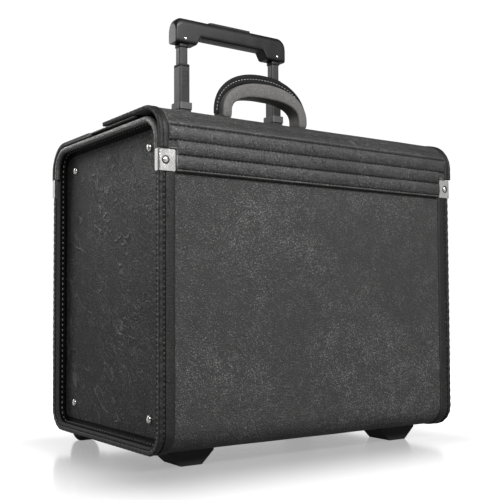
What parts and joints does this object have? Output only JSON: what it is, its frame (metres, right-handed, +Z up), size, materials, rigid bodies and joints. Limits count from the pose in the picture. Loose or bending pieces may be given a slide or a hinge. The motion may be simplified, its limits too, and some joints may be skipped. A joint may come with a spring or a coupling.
{
  "type": "pilot rolling flight case",
  "caption": "Upright leather-covered board case with recessed end panels, an overlapping top lid on a ribbed front hinge, a carry handle, skid feet, rear wheels and a telescopic trolley handle.",
  "frame": {"origin": "on the floor, at the middle of the object's footprint box", "axes": "+X to the right along the front, +Y to the rear where the wheels are, +Z up"},
  "size_m": [0.452, 0.3, 0.569],
  "materials": {
    "leather": "fine pebble grain with soft long creases, semi-matte",
    "binding_leather": "smooth folded leather with a stitch line, semi-matte",
    "handle_leather": "padded grained leather, stitched welt",
    "nickel": "nickel plated, lightly brushed",
    "steel": "plain steel pins",
    "dial_brass": "black dials with fine knurling, no numerals",
    "trolley_aluminium": "satin dark anodised, fine draw lines",
    "black_plastic": "moulded, fine texture",
    "grip_plastic": "satin moulded grip",
    "foot_plastic": "hard moulded skid",
    "wheel_rubber": "hard rubber tread",
    "lining_board": "board covered in dark lining cloth"
  },
  "bodies": {
    "case": {"shell_band": "leather", "floor_board": "lining_board", "rear_deck": "leather", "front_rib_strip": "leather", "trolley_base": "black_plastic", "trolley_bezel": "black_plastic", "edge_binding_left": "binding_leather", "end_panel_left": "leather", "rim_bead_left": "binding_leather", "end_panel_stay_left": "nickel", "bracket_front_left": "nickel", "bracket_rear_left": "nickel", "trolley_channel_left": "trolley_aluminium", "trolley_collar_left": "black_plastic", "wheel_housing_left": "black_plastic", "wheel_axle_left": "steel", "front_foot_left": "foot_plastic", "edge_binding_right": "binding_leather", "end_panel_right": "leather", "rim_bead_right": "binding_leather", "end_panel_stay_right": "nickel", "bracket_front_right": "nickel", "bracket_rear_right": "nickel", "trolley_channel_right": "trolley_aluminium", "trolley_collar_right": "black_plastic", "wheel_housing_right": "black_plastic", "wheel_axle_right": "steel", "front_foot_right": "foot_plastic"},
    "front_lid": {"front_lid": "leather", "lid_ribs": "leather", "lid_binding_left": "binding_leather", "handle_mount_left": "nickel", "handle_pin_left": "steel", "lock_body_left": "nickel", "lid_binding_right": "binding_leather", "handle_mount_right": "nickel", "handle_pin_right": "steel", "lock_body_right": "nickel"},
    "tuck_flap": {"tuck_flap": "leather"},
    "carry_handle": {"carry_handle": "handle_leather"},
    "lower_stage": {"lower_tube_left": "trolley_aluminium", "stage_latch_left": "black_plastic", "lower_tube_right": "trolley_aluminium", "stage_latch_right": "black_plastic"},
    "upper_stage": {"trolley_grip": "grip_plastic", "upper_tube_left": "trolley_aluminium", "upper_tube_right": "trolley_aluminium"},
    "grip_button": {"grip_button": "grip_plastic"},
    "wheel_left": {"wheel_tyre_left": "wheel_rubber", "wheel_hub_left": "black_plastic"},
    "lock_slider_left": {"lock_slider_left": "nickel"},
    "lock_dial_left_1": {"lock_dial_left_1": "dial_brass"},
    "lock_dial_left_2": {"lock_dial_left_2": "dial_brass"},
    "lock_dial_left_3": {"lock_dial_left_3": "dial_brass"},
    "wheel_right": {"wheel_tyre_right": "wheel_rubber", "wheel_hub_right": "black_plastic"},
    "lock_slider_right": {"lock_slider_right": "nickel"},
    "lock_dial_right_1": {"lock_dial_right_1": "dial_brass"},
    "lock_dial_right_2": {"lock_dial_right_2": "dial_brass"},
    "lock_dial_right_3": {"lock_dial_right_3": "dial_brass"}
  },
  "joints": [
    {"name": "front_lid_hinge", "type": "hinge", "parent": "case", "child": "front_lid", "pos_m": [0, -0.15015, 0.3402], "axis": [1, 0, 0], "range_deg": [0, 150]},
    {"name": "tuck_flap_hinge", "type": "hinge", "parent": "case", "child": "tuck_flap", "pos_m": [0, 0.02705, 0.3917], "axis": [-1, 0, 0], "range_deg": [0, 60]},
    {"name": "carry_handle_hinge", "type": "hinge", "parent": "front_lid", "child": "carry_handle", "pos_m": [0, -0.02595, 0.406], "axis": [1, 0, 0], "range_deg": [0, 76]},
    {"name": "lower_stage_slide", "type": "slide", "parent": "case", "child": "lower_stage", "axis": [0, 0, 1], "range_m": [-0.05, 0.23]},
    {"name": "upper_stage_slide", "type": "slide", "parent": "lower_stage", "child": "upper_stage", "axis": [0, 0, 1], "range_m": [-0.022, 0.215]},
    {"name": "grip_button_press", "type": "slide", "parent": "upper_stage", "child": "grip_button", "axis": [0, 0, -1], "range_m": [0, 0.004], "stiffness_N_per_m": 400, "springref_m": -0.002},
    {"name": "wheel_left_spin", "type": "hinge", "parent": "case", "child": "wheel_left", "pos_m": [-0.1825, 0.12505, 0.025], "axis": [1, 0, 0], "continuous": true},
    {"name": "lock_slider_left_slide", "type": "slide", "parent": "front_lid", "child": "lock_slider_left", "axis": [-1, 0, 0], "range_m": [0, 0.006], "stiffness_N_per_m": 200, "springref_m": -0.002},
    {"name": "lock_dial_left_1_turn", "type": "hinge", "parent": "front_lid", "child": "lock_dial_left_1", "pos_m": [-0.116, -0.03695, 0.4026], "axis": [1, 0, 0], "continuous": true},
    {"name": "lock_dial_left_2_turn", "type": "hinge", "parent": "front_lid", "child": "lock_dial_left_2", "pos_m": [-0.124, -0.03695, 0.4026], "axis": [1, 0, 0], "continuous": true},
    {"name": "lock_dial_left_3_turn", "type": "hinge", "parent": "front_lid", "child": "lock_dial_left_3", "pos_m": [-0.132, -0.03695, 0.4026], "axis": [1, 0, 0], "continuous": true},
    {"name": "wheel_right_spin", "type": "hinge", "parent": "case", "child": "wheel_right", "pos_m": [0.1825, 0.12505, 0.025], "axis": [1, 0, 0], "continuous": true},
    {"name": "lock_slider_right_slide", "type": "slide", "parent": "front_lid", "child": "lock_slider_right", "axis": [1, 0, 0], "range_m": [0, 0.006], "stiffness_N_per_m": 200, "springref_m": -0.002},
    {"name": "lock_dial_right_1_turn", "type": "hinge", "parent": "front_lid", "child": "lock_dial_right_1", "pos_m": [0.116, -0.03695, 0.4026], "axis": [1, 0, 0], "continuous": true},
    {"name": "lock_dial_right_2_turn", "type": "hinge", "parent": "front_lid", "child": "lock_dial_right_2", "pos_m": [0.124, -0.03695, 0.4026], "axis": [1, 0, 0], "continuous": true},
    {"name": "lock_dial_right_3_turn", "type": "hinge", "parent": "front_lid", "child": "lock_dial_right_3", "pos_m": [0.132, -0.03695, 0.4026], "axis": [1, 0, 0], "continuous": true}
  ],
  "couplings": [
    {"joint": "tuck_flap_hinge", "follows": "front_lid_hinge", "ratio": 0.4}
  ]
}
